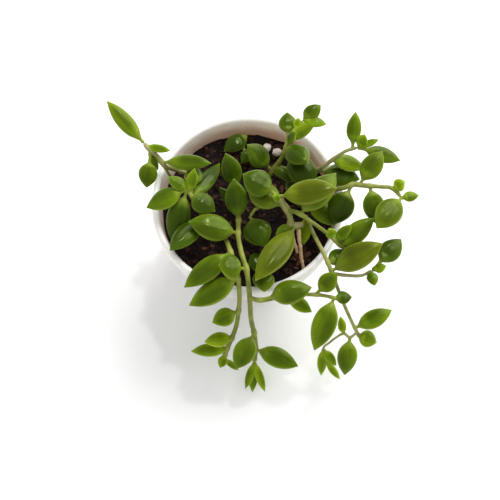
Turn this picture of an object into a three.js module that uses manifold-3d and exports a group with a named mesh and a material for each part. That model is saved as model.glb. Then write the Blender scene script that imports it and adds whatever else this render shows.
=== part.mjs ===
// A small bowl of a pot with a string of bananas growing over its rim: fleshy pointed leaves on thin
// trailing stems. Millimetres, +Z up. The origin is the centre of the pot's underside, and the longest
// shoots hang down the -Y side.
import * as THREE from "three";
import { mergeVertices } from "three/addons/utils/BufferGeometryUtils.js";
import Module from "manifold-3d";

const wasm = await Module();
wasm.setup();

// ---- Driving dimensions ----

const pot = {
  rimRadius: 42.5, // outside of the lip
  footRadius: 24, // outside of the underside
  height: 54,
  swell: 1.8, // 1 makes a straight cone, and more makes a rounder bowl
  wall: 3,
  base: 4,
  facets: 48,
  steps: 6,
};
const drain = { count: 4, radius: 2.5, circle: 13 };
const soil = { below: 11.5, bump: 0.8, facets: 32, rings: 3 };
const perlite = { radius: 2.3, squash: 0.75, places: [[8.7, 30], [13.3, 27.7]] };
const stem = { radius: 1.1, sides: 6, step: 4, rooted: 6 };
const leaf = {
  petioleRadius: 0.8,
  thickness: 0.5, // as a share of the leaf's width
  droop: 0.06, // how far the tip bends down, as a share of the length
  sides: 8,
  budSides: 6,
};
const aerialRoot = { radius: 0.7, step: 4 };
const clearance = 0.3; // between any two pieces that touch
const routeRim = 42.5; // the rim radius that the routes below are laid out for

const soilLevel = pot.height - soil.below;
const spread = pot.rimRadius / routeRim;

const finish = (color, roughness) => new THREE.MeshStandardMaterial({ color, roughness, metalness: 0 });
const materials = {
  pot: finish("#e9e6df", 0.35),
  soil: finish("#2b1a14", 0.95),
  perlite: finish("#d8d0c4", 0.9),
  stem: finish("#8f9a45", 0.55),
  leaf: finish("#4f7f22", 0.4),
  root: finish("#c8a57a", 0.8),
};

// ---- Shoots ----
// Each shoot is a list of stems, and all but the first are branches joined to it. A route starts where the
// stem enters the soil, as [x, y], or inside another stem, as a full point. Its other points are
// [x, y, height over the rim]. A leaf is [place along the stem from 0 to 1, heading, pitch, length, width,
// petiole]. Heading 0 is +X and 90 is +Y, and pitch is up from level, in degrees. The leaves with a name are
// pieces of their own, and each of the small ones under buds is one piece with its stem.

const shoots = {
  left_arm: [
    {
      route: [
        [-24, 17], [-27, 16, -7], [-32, 15, 0], [-36.5, 14.5, 5], [-39.5, 17.5, 8], [-43, 20.5, 9],
        [-46, 24, 9],
      ],
      leaves: {
        tip: [1, 134, 17, 24.5, 7.5, 1.5],
        hanging: [0.87, 261, -42, 16.5, 8.5, 2],
        inner: [0.7, 352, 17, 23, 7.5, 2],
      },
      buds: [
        [0.94, 341, 15, 11.5, 4, 1],
        [0.91, 298, -33, 11, 3.5, 1.5],
      ],
    },
    { route: [[-31, 11], [-32.5, 10, -5], [-35, 12, 2], [-38.5, 16, 7.5]] },
  ],
  inner_left: [
    {
      route: [[-17.5, -13], [-18, -12, -4], [-19.5, -9, 3], [-22.5, -4.5, 8], [-26, 0.5, 11]],
      leaves: {
        outer: [1, 200, -8, 19.5, 9.5, 1.5],
        back: [0.93, 84, 8, 16, 8, 1.5],
        under: [1, 247, -34, 25, 10.5, 4],
        low: [0.57, 231, 15, 23, 9.5, 1],
      },
      buds: [
        [1, 153, 23, 10, 6, 1.5],
        [0.96, 74, 41, 11, 5, 1.5],
        [0.91, 325, 0, 12.5, 9.5, 1.5],
        [0.88, 62, -24, 28.5, 7.5, 4],
      ],
    },
  ],
  front_right: [
    {
      route: [
        [-6, 8], [-5, -2, -5], [-4, -8.5, 1], [-4, -19.5, 6], [-2.5, -28, 8], [-0.5, -35, 8],
        [0.5, -41.5, 4], [1, -46, -4], [1.5, -50.5, -14], [3, -54, -25], [3.5, -57.5, -36], [3, -62, -43],
      ],
      leaves: {
        left: [0.31, 172, 15, 22, 12, 2.5],
        over: [0.47, 184, 30, 13, 12, 1],
        upright: [0.24, 97, 35, 18.5, 10, 1.5],
        lower: [0.81, 242, -22, 18.5, 10, 1],
        side: [0.93, 342, -8, 21, 9.5, 1.5],
      },
      buds: [
        [0.11, 136, 26, 11.5, 5.5, 1.5],
        [1, 251, -22, 13, 4, 1],
        [1, 265, -34, 15, 4.5, 1],
        [1, 291, -20, 14.5, 4, 1],
      ],
    },
    {
      route: [
        [0.5, -44.5, 0], [3.5, -46, 0.5], [7, -46, 0], [14, -43.5, -3.5], [21.5, -43, -2.5],
        [27.5, -43.5, 0], [33.5, -44.5, 1], [39.5, -46, 0.5],
      ],
      leaves: {
        rim: [0.13, 14, 10, 22.5, 11, 1.5],
        inner: [0.74, 40, 26, 13.5, 8, 1.5],
        hanging: [0.93, 249, -25, 24.5, 10.5, 2],
      },
      buds: [
        [0.44, 334, -25, 13.5, 6.5, 1.5],
        [0.94, 6, -5, 7.5, 6, 1],
      ],
    },
  ],
  front_left: [
    {
      route: [
        [-12.5, -8.5], [-11, -13, -4], [-9, -20.5, 3], [-7, -27.5, 7], [-5.5, -33.5, 7], [-4, -38.5, 4],
        [-3.5, -44.5, -1], [-4, -48, -10], [-5, -51.5, -19], [-7, -54.5, -28], [-9.5, -58, -36],
        [-11, -61, -41],
      ],
      leaves: {
        rim: [0.33, 218, -5, 25, 10, 3],
        wall: [0.46, 204, -12, 24, 10.5, 1.5],
        hanging: [0.64, 205, -2, 12.5, 8.5, 1],
      },
      buds: [
        [0.85, 189, 11, 12.5, 7, 1],
        [0.93, 186, 8, 16.5, 6.5, 1],
        [0.97, 249, -12, 6.5, 4.5, 1],
        [1, 334, -36, 10, 3, 1],
      ],
    },
  ],
  main: [
    {
      route: [
        [14.5, -14.5], [17, -14.5, -4], [18.5, -13.5, 3], [18, -10.5, 8], [15.5, -7, 12], [13, -4.5, 15],
      ],
      leaves: {
        top: [1, 0, 22, 26, 11.5, 4],
        left: [1, 152, 21, 18, 12.5, 1.5],
        under: [0.82, 147, 8, 20, 12, 2.5],
      },
      buds: [
        [0.6, 227, 0, 9.5, 5.5, 1],
        [0.97, 187, 50, 4.5, 4.5, 1],
      ],
    },
    {
      route: [[18.5, -13, 2.5], [20.5, -13.5, 4], [24, -13, 4.5]],
      leaves: { olive: [0.48, 239, 15, 33.5, 11.5, 6] },
    },
    {
      route: [
        [16.5, -8.5, 10], [22, -11.5, 13], [26.5, -14.5, 12], [31, -17.5, 11], [36.5, -21, 8],
        [40.5, -24, 4],
      ],
      leaves: { behind: [0.24, 53, -2, 25, 12, 2] },
      buds: [
        [1, 4, 5, 11, 8, 1],
        [0.95, 35, 20, 19, 9, 1.5],
        [0.8, 118, 35, 5, 5, 1],
        [0.84, 37, 30, 10, 5, 1],
        [0.89, 41, 30, 5.5, 4.5, 1],
      ],
    },
  ],
  right_trailing: [
    {
      route: [
        [25.5, 0], [26, -7, -4], [28, -17, 5], [31.5, -26, 8], [34, -31.5, 7], [36, -35.5, 4],
        [38.5, -39.5, -2], [41, -43.5, -8], [44, -47.5, -15], [47.5, -51.5, -23], [50.5, -54.5, -29],
        [53.5, -56.5, -33],
      ],
      leaves: {
        top: [0.51, 25, 24, 25, 11.5, 2.5],
        side: [0.87, 25, 8, 18.5, 8.5, 1],
      },
      buds: [
        [0.13, 266, -4, 12.5, 5.5, 1],
        [0.47, 38, -25, 14, 8, 2.5],
        [0.92, 341, -18, 9.5, 8, 1],
      ],
    },
    {
      route: [
        [48.5, -53, -25], [45.5, -55, -26], [43, -53, -27], [39.5, -54, -30], [36.5, -55.5, -34],
        [34.5, -56.5, -38], [36, -62, -43],
      ],
      leaves: { lower: [0.13, 263, -35, 18.5, 9, 1.5] },
      buds: [
        [0.25, 110, 48, 9, 4, 1],
        [0.77, 263, -38, 13.5, 4.5, 1],
        [0.78, 312, -19, 9.5, 4.5, 1],
        [0.98, 313, -35, 12, 3.5, 1],
      ],
    },
    {
      route: [[36.5, -35.5, 4], [43, -36, 3], [49, -35.5, 2], [53.5, -33.5, 3]],
      leaves: { far: [1, 48, 9, 18.5, 9.5, 1.5] },
      buds: [
        [0.94, 279, 10, 7, 5, 1],
        [1, 12, 20, 6, 4.5, 1],
      ],
    },
  ],
  right_high: [
    {
      route: [
        [22, 4], [26, 1, -2], [31.5, 1, 6], [38, 1, 10], [42, 1, 12], [45.5, 2, 13], [50.5, 1, 14],
        [57, 0.5, 14], [62, 0, 13.5], [66, -4, 12.5],
      ],
      leaves: {
        under: [0.64, 241, -26, 19.5, 11.5, 2],
        middle: [0.76, 283, -25, 17, 9.5, 2],
        end: [1, 231, 12, 19.5, 11.5, 1.5],
        back: [0.69, 54, 21, 17.5, 9.5, 1.5],
      },
      buds: [
        [0.3, 310, 3, 17, 9.5, 1.5],
        [0.92, 27, 30, 6, 6, 1],
        [1, 8, 5, 7.5, 5, 1],
      ],
    },
  ],
  upper_right: [
    {
      route: [
        [24.5, 14], [28.5, 13.5, -2], [32.5, 13.5, 5], [38, 15.5, 11], [42, 17.5, 13], [45.5, 18.5, 14],
        [48, 18.5, 15],
      ],
      leaves: {
        upright: [0.94, 87, 30, 16, 6.5, 2.5],
        side: [1, 343, -1, 19, 7.5, 2.5],
        under: [0.49, 347, 1, 19, 11, 1.5],
      },
      buds: [
        [1, 58, 38, 6.5, 5.5, 1],
        [1, 17, 19, 9.5, 3.5, 2],
        [0.71, 357, -18, 16, 8, 1],
        [0.22, 220, 38, 16, 9, 1],
      ],
    },
  ],
  top: [
    {
      route: [
        [8.5, 16.5], [10.5, 16, -6], [13.5, 18, 0], [16, 20.5, 5], [17, 22.5, 8], [19, 26.5, 11],
        [24.5, 32.5, 14],
      ],
      leaves: {
        dome: [0.67, 309, 28, 16, 10.5, 1],
        broad: [0.61, 316, -2, 21, 13, 3],
        back: [0.73, 91, 30, 13.5, 8, 1],
        left: [0.31, 144, 40, 17.5, 10.5, 4],
      },
      buds: [
        [0.73, 5, 70, 8, 6, 1],
        [1, 40, 19, 10, 7, 1],
        [1, 343, 11, 10.5, 5.5, 1],
        [0.74, 30, 26, 14.5, 6.5, 3],
        [0.33, 337, 34, 7, 5.5, 2.5],
        [0.39, 319, 6, 12.5, 6.5, 1.5],
        [0.87, 71, 30, 5.5, 3.5, 1],
      ],
    },
  ],
  back: [
    {
      route: [[3, 20], [1, 24.5, -8], [-2, 29, -7.5], [-0.5, 34.5, -6]],
      buds: [
        [1, 216, 5, 13, 8.5, 1],
        [0.43, 156, 40, 6, 8, 1.5],
      ],
    },
  ],
  mid_left: [
    {
      route: [[-1, 2], [-2.5, 3, -6], [-4.5, 5.5, 0]],
      leaves: { back: [1, 113, 44, 17.5, 9, 1.5] },
    },
  ],
  middle: [
    {
      route: [[5, 3], [3, -3, -4], [1, -8, 1]],
      leaves: { round: [1, 293, 4, 15.5, 12.5, 1] },
    },
  ],
  near: [
    {
      route: [[10, -21], [8.5, -27, -4], [6.5, -33, 2]],
      buds: [
        [0.5, 201, 22, 10, 9.5, 2.5],
        [1, 272, 15, 11, 9.5, 1],
      ],
    },
  ],
};

const aerialRoots = {
  long: [[22, -14.5, 2], [22.5, -18, -1], [23.5, -23.5, -5.5], [24.5, -29, -10]],
  short: [[19, -15, 1.5], [20, -18.5, -1], [22, -22.5, -6]],
};

// ---- Shapes ----

const radians = THREE.MathUtils.degToRad;

// A geometry as a manifold-3d solid, with its shared corners merged.
function solidOf(geometry) {
  const bare = geometry.index ? geometry.toNonIndexed() : geometry.clone();
  bare.deleteAttribute("normal");
  bare.deleteAttribute("uv");
  const merged = mergeVertices(bare, 1e-4);
  return new wasm.Manifold(
    new wasm.Mesh({
      numProp: 3,
      vertProperties: merged.attributes.position.array,
      triVerts: new Uint32Array(merged.index.array),
    }),
  );
}

function geometryOf(solid) {
  const mesh = solid.getMesh();
  const geometry = new THREE.BufferGeometry();
  geometry.setAttribute("position", new THREE.BufferAttribute(new Float32Array(mesh.vertProperties), 3));
  geometry.setIndex(new THREE.BufferAttribute(new Uint32Array(mesh.triVerts), 1));
  geometry.computeVertexNormals();
  return geometry;
}

// The outside of the pot's wall at a height.
const potRadius = (z) =>
  pot.footRadius + (pot.rimRadius - pot.footRadius) * (1 - (1 - z / pot.height) ** pot.swell);

// Points up the pot's side, from one height to another, some way in from its outside.
function side(from, to, inset) {
  return Array.from({ length: pot.steps + 1 }, (_, i) => {
    const z = THREE.MathUtils.lerp(from, to, i / pot.steps);
    return new THREE.Vector2(potRadius(z) - inset, z);
  });
}

// Turns a profile of radius and height about the Z axis.
function turned(profile, facets) {
  return new THREE.LatheGeometry(profile, facets).rotateX(Math.PI / 2);
}

function potSolid() {
  const lip = pot.wall / 2;
  const round = [30, 90, 150].map((degrees) => {
    const turn = radians(degrees);
    const [out, up] = [lip * Math.cos(turn), lip * Math.sin(turn)];
    return new THREE.Vector2(pot.rimRadius - lip + out, pot.height - lip + up);
  });
  const profile = [
    new THREE.Vector2(0, 0),
    ...side(0, pot.height - lip, 0),
    ...round,
    ...side(pot.height - lip, pot.base, pot.wall),
    new THREE.Vector2(0, pot.base),
  ];
  let body = solidOf(turned(profile, pot.facets));
  for (let i = 0; i < drain.count; i++) {
    const turn = (2 * Math.PI * (i + 0.5)) / drain.count;
    const hole = new THREE.CylinderGeometry(drain.radius, drain.radius, 3 * pot.base, 16)
      .rotateX(Math.PI / 2)
      .translate(drain.circle * Math.cos(turn), drain.circle * Math.sin(turn), pot.base / 2);
    body = body.subtract(solidOf(hole));
  }
  return body;
}

// How far the soil's surface stands over its level.
const soilBump = (x, y) => soil.bump * (Math.sin(0.31 * x + 0.8) + Math.cos(0.27 * y - 0.11 * x)) * 0.5;

function soilSolid(pockets) {
  const inset = pot.wall + clearance;
  const edge = potRadius(soilLevel) - inset;
  const top = Array.from({ length: soil.rings }, (_, i) => {
    return new THREE.Vector2(edge * (1 - (i + 1) / soil.rings), soilLevel);
  });
  const profile = [
    new THREE.Vector2(0, pot.base + clearance),
    ...side(pot.base + clearance, soilLevel, inset),
    ...top,
  ];
  const body = turned(profile, soil.facets);
  const place = body.attributes.position;
  for (let i = 0; i < place.count; i++) {
    const [x, y, z] = [place.getX(i), place.getY(i), place.getZ(i)];
    if (z > soilLevel - 1e-3 && Math.hypot(x, y) < edge - 1e-3) place.setZ(i, z + soilBump(x, y));
  }
  return pockets.reduce((whole, pocket) => whole.subtract(pocket), solidOf(body));
}

function perliteSolid([x, y]) {
  const height = perlite.radius * perlite.squash;
  const shape = new THREE.IcosahedronGeometry(perlite.radius, 1)
    .scale(1, 1, perlite.squash)
    .translate(x * spread, y * spread, soilLevel + soil.bump + height + clearance);
  return solidOf(shape);
}

// A closed tube of round section along a curve.
function tube(curve, radius, step) {
  const section = Array.from({ length: stem.sides }, (_, i) => {
    const turn = (2 * Math.PI * i) / stem.sides;
    return new THREE.Vector2(radius * Math.cos(turn), radius * Math.sin(turn));
  });
  const steps = Math.max(2, Math.round(curve.getLength() / step));
  const shape = new THREE.ExtrudeGeometry(new THREE.Shape(section), {
    steps,
    extrudePath: curve,
    bevelEnabled: false,
  });
  return solidOf(shape);
}

// A route's point in the object's own frame: rooted in the soil if it has no height, and otherwise never
// lower than lying along the soil inside the pot, or along the ground outside it. Inside the pot it keeps
// clear of the wall too.
function routePoint([x, y, overRim], radius) {
  const inside = Math.hypot(x, y) < routeRim - pot.wall;
  const surface = inside ? soilLevel + soil.bump : 0;
  const rooted = soilLevel - stem.rooted;
  const z = overRim === undefined ? rooted : Math.max(pot.height + overRim, surface + radius + clearance);
  const flat = new THREE.Vector2(x, y).multiplyScalar(spread);
  if (inside && z < pot.height) flat.clampLength(0, potRadius(z) - pot.wall - radius - clearance);
  return new THREE.Vector3(flat.x, flat.y, z);
}

function curveOf(route, radius) {
  return new THREE.CatmullRomCurve3(route.map((point) => routePoint(point, radius)));
}

// A plump almond with a stalk and a point, its base at the origin and its length along +X.
function leafGeometry(length, width, petiole, sides) {
  const blade = length - petiole;
  const outline = [[0.08, 0.55], [0.24, 0.9], [0.45, 1], [0.66, 0.86], [0.84, 0.52]];
  const profile = [
    new THREE.Vector2(0, 0),
    new THREE.Vector2(leaf.petioleRadius, 0),
    new THREE.Vector2(leaf.petioleRadius, petiole),
    ...outline.map(([along, wide]) => new THREE.Vector2((wide * width) / 2, petiole + along * blade)),
    new THREE.Vector2(0, length),
  ];
  const shape = new THREE.LatheGeometry(profile, sides).rotateZ(-Math.PI / 2);
  const place = shape.attributes.position;
  for (let i = 0; i < place.count; i++) {
    const x = place.getX(i);
    const grown = THREE.MathUtils.smoothstep(x, petiole, petiole + 0.3 * blade);
    const flat = THREE.MathUtils.lerp(1, leaf.thickness, grown);
    const drop = leaf.droop * length * (x / length) ** 2;
    place.setZ(i, place.getZ(i) * flat - drop);
  }
  return shape;
}

// A leaf on its stem: it leaves the stem's curve at a place, a little way out, with its upper side up.
function leafSolid(curve, row, out, sides, margin = 0) {
  const [along, heading, pitch, length, width, petiole] = row;
  const [h, p] = [radians(heading), radians(pitch)];
  const axis = new THREE.Vector3(Math.cos(p) * Math.cos(h), Math.cos(p) * Math.sin(h), Math.sin(p));
  const across = new THREE.Vector3(-Math.sin(h), Math.cos(h), 0);
  const up = new THREE.Vector3().crossVectors(axis, across);
  const start = curve.getPointAt(along).addScaledVector(axis, out);
  const frame = new THREE.Matrix4().makeBasis(axis, across, up).setPosition(start);
  const shape = leafGeometry(length - out + margin, width + 2 * margin, petiole, sides);
  return solidOf(shape.applyMatrix4(frame));
}

// ---- The object ----

const object = new THREE.Group();

function add(name, solid, look) {
  const mesh = new THREE.Mesh(geometryOf(solid), look);
  mesh.name = name;
  object.add(mesh);
}

// Pieces made so far, which a new leaf keeps clear of.
const made = [];

function touches(solid, others) {
  const box = solid.boundingBox();
  return others.some(({ solid: other, box: near }) => {
    const apart = [0, 1, 2].some((i) => box.min[i] > near.max[i] || box.max[i] < near.min[i]);
    return !apart && solid.intersect(other).volume() > 0;
  });
}

function keep(solid, shoot) {
  made.push({ solid, box: solid.boundingBox(), shoot });
}

// Small changes to a leaf's pitch and heading, and to its distance from a stem that it isn't joined to, the
// least first.
const nudges = [];
for (let lift = -64; lift <= 64; lift += 4) {
  for (let turn = -18; turn <= 18; turn += 6) {
    for (const out of [0, 0.6, 1.2, 2, 3]) {
      nudges.push({ lift, turn, out, cost: Math.abs(lift) + 1.5 * Math.abs(turn) + 4 * out });
    }
  }
}
nudges.sort((a, b) => a.cost - b.cost);

// The leaf, turned as little as keeps it off the ground and clear of the others.
function settle(curve, row, out, sides, others, label) {
  for (const nudge of nudges) {
    if (nudge.out > 0 && out === 0) continue;
    const [along, heading, pitch, ...size] = row;
    const tried = [along, heading + nudge.turn, pitch + nudge.lift, ...size];
    const wide = leafSolid(curve, tried, out + nudge.out, sides, clearance);
    if (wide.boundingBox().min[2] < clearance || touches(wide, others)) continue;
    return leafSolid(curve, tried, out + nudge.out, sides);
  }
  throw new Error(`${label} finds no room`);
}

const potBody = potSolid();
keep(potBody);
add("pot", potBody, materials.pot);

const stems = [];
for (const [name, parts] of Object.entries(shoots)) {
  for (const part of parts) {
    const curve = curveOf(part.route, stem.radius);
    const solid = tube(curve, stem.radius, stem.step);
    stems.push({ name, part, curve, solid });
  }
}
const pockets = stems
  .filter(({ part }) => part.route[0].length === 2)
  .map(({ part }) => {
    const [low, high] = part.route.map((point) => routePoint(point, stem.radius));
    const line = new THREE.LineCurve3(low.clone().setZ(low.z - clearance), high);
    return tube(line, stem.radius + 2 * clearance, stem.step);
  });
const soilBody = soilSolid(pockets);
keep(soilBody);
add("soil", soilBody, materials.soil);

for (const one of stems) keep(one.solid, one.name);

// The buds first, because they grow out of their stem, and then the leaves that stand alone.
const wholeStems = {};
for (const { name, part, curve, solid } of stems) {
  wholeStems[name] = wholeStems[name]?.add(solid) ?? solid;
  for (const row of part.buds ?? []) {
    const others = made.filter((piece) => piece.shoot !== name);
    const bud = settle(curve, row, 0, leaf.budSides, others, `A bud on ${name}`);
    keep(bud, name);
    wholeStems[name] = wholeStems[name].add(bud);
  }
}
for (const [name, solid] of Object.entries(wholeStems)) add(`stem_${name}`, solid, materials.stem);

const hanging = Object.entries(aerialRoots).map(([name, route]) => {
  const solid = tube(curveOf(route, aerialRoot.radius), aerialRoot.radius, aerialRoot.step);
  keep(solid);
  return [name, solid];
});
for (const [name, solid] of hanging) add(`aerial_root_${name}`, solid, materials.root);

perlite.places.forEach((place, i) => {
  const solid = perliteSolid(place);
  keep(solid);
  add(`perlite_${i + 1}`, solid, materials.perlite);
});

for (const { name, part, curve } of stems) {
  for (const [which, row] of Object.entries(part.leaves ?? {})) {
    const label = `leaf_${name}_${which}`;
    const solid = settle(curve, row, stem.radius + clearance, leaf.sides, made, label);
    keep(solid);
    add(label, solid, materials.leaf);
  }
}

export default object;
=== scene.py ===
"""A string of bananas in its small white pot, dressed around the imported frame.

The leaves that stand alone take their place, width and length from the frame's own leaves. The small leaves
and buds, which the frame joins to their stems, repeat the rows that they are laid out by.
"""

import logging
import math
import random
from dataclasses import dataclass, field
from enum import Enum
from typing import Callable, Iterable, Optional, Sequence, Union

import bmesh
import bpy
import numpy as np
from mathutils import Matrix, Vector, noise

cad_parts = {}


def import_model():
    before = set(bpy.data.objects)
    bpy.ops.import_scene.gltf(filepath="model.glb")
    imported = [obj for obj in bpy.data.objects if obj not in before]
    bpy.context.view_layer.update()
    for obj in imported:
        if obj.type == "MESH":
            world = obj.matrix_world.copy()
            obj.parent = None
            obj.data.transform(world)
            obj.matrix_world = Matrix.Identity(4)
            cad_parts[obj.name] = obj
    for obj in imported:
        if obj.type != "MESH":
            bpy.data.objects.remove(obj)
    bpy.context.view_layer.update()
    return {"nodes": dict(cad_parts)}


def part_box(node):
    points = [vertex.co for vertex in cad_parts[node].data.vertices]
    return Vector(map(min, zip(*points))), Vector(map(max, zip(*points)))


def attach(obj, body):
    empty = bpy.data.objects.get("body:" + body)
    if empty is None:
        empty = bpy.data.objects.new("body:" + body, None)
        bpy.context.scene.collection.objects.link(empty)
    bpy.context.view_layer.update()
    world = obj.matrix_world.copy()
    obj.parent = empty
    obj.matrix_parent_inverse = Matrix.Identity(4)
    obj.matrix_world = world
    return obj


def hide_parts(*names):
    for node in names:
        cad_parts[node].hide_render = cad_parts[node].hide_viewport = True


LOG = logging.getLogger("string_of_bananas")
MM = 0.001
BODY = "root"
NOISE_SEED = 11
LITTER_SEED = 11

Color = tuple[float, float, float]
Socket = bpy.types.NodeSocket


# ---- Tones, and the plant's layout ----


class Tone(Enum):
    """A leaf's shade of green: partly how it has grown, and partly painted light and shade, darker for leaves
    that sit in shade among the others and brighter for some that the lamps leave dim.
    """

    MID = "mid"
    FRESH = "fresh"
    LIME = "lime"
    DEEP = "deep"
    SHADE = "shade"
    OLIVE = "olive"
    BRIGHT = "bright"
    BLOOM = "bloom"


@dataclass(frozen=True)
class Bud:
    """A small leaf that grows out of its stem, in millimetres and degrees.

    Heading 0 is +X and 90 is +Y, and pitch is up from level.
    """

    along: float
    heading: float
    pitch: float
    length: float
    width: float
    petiole: float
    tone: Tone = Tone.FRESH


@dataclass(frozen=True)
class Stem:
    """One stem: its route in millimetres, and what grows on it.

    A route starts where the stem enters the soil, as (x, y), or inside another stem. Its other points are
    (x, y, height over the rim). A named leaf is (place along the stem from 0 to 1, tone). The girth is how
    thick the stem starts and ends, against the usual radius, and dull turns its green to a pale grey.
    """

    route: Sequence[tuple]
    leaves: dict[str, tuple[float, Tone]] = field(default_factory=dict)
    buds: Sequence[Bud] = ()
    cut: bool = False
    girth: tuple[float, float] = (1.0, 0.62)
    dull: float = 0.0


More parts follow.
